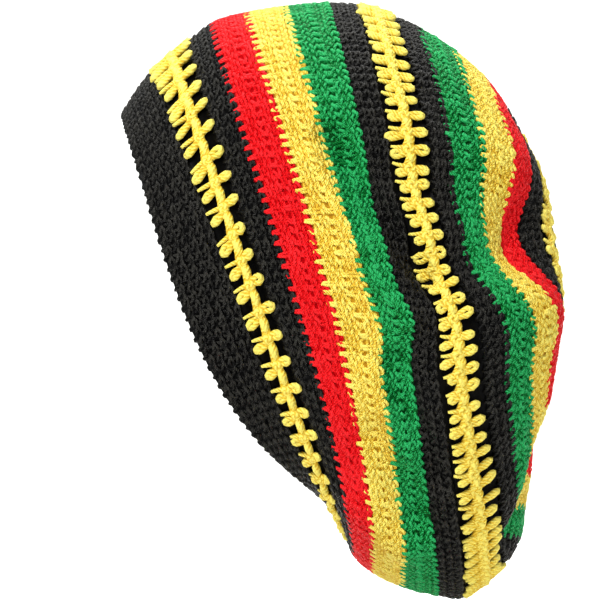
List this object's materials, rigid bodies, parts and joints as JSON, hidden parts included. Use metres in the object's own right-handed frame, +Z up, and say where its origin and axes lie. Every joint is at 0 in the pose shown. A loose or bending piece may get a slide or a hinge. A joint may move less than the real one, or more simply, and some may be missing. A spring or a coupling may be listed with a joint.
{
  "type": "crocheted rasta tam",
  "caption": "Slouchy crocheted tam in black, red, yellow and green bands with yellow openwork rounds, in its worn form with an open head hollow.",
  "frame": {"origin": "middle of the head opening", "axes": "+Z up, the wearer looks along -Y, +X is the wearer's left"},
  "size_m": [0.2079, 0.2042, 0.2805],
  "materials": {
    "black_yarn": "charcoal black crochet yarn with a slight sheen",
    "red_yarn": "bright red crochet yarn with a slight sheen",
    "yellow_yarn": "light golden yellow crochet yarn with a slight sheen",
    "green_yarn": "emerald green crochet yarn with a slight sheen"
  },
  "bodies": {
    "root": {"rim": "black_yarn", "openwork_1_ground": "black_yarn", "openwork_1_clusters": "yellow_yarn", "black_band_1": "black_yarn", "red_band_1": "red_yarn", "yellow_band_1": "yellow_yarn", "green_band_1": "green_yarn", "black_band_2": "black_yarn", "openwork_2_ground": "black_yarn", "openwork_2_clusters": "yellow_yarn", "black_band_3": "black_yarn", "green_band_2": "green_yarn", "yellow_band_2": "yellow_yarn", "red_band_2": "red_yarn", "black_band_4": "black_yarn", "openwork_3_ground": "black_yarn", "openwork_3_clusters": "yellow_yarn", "crown_centre": "black_yarn"}
  },
  "joints": []
}
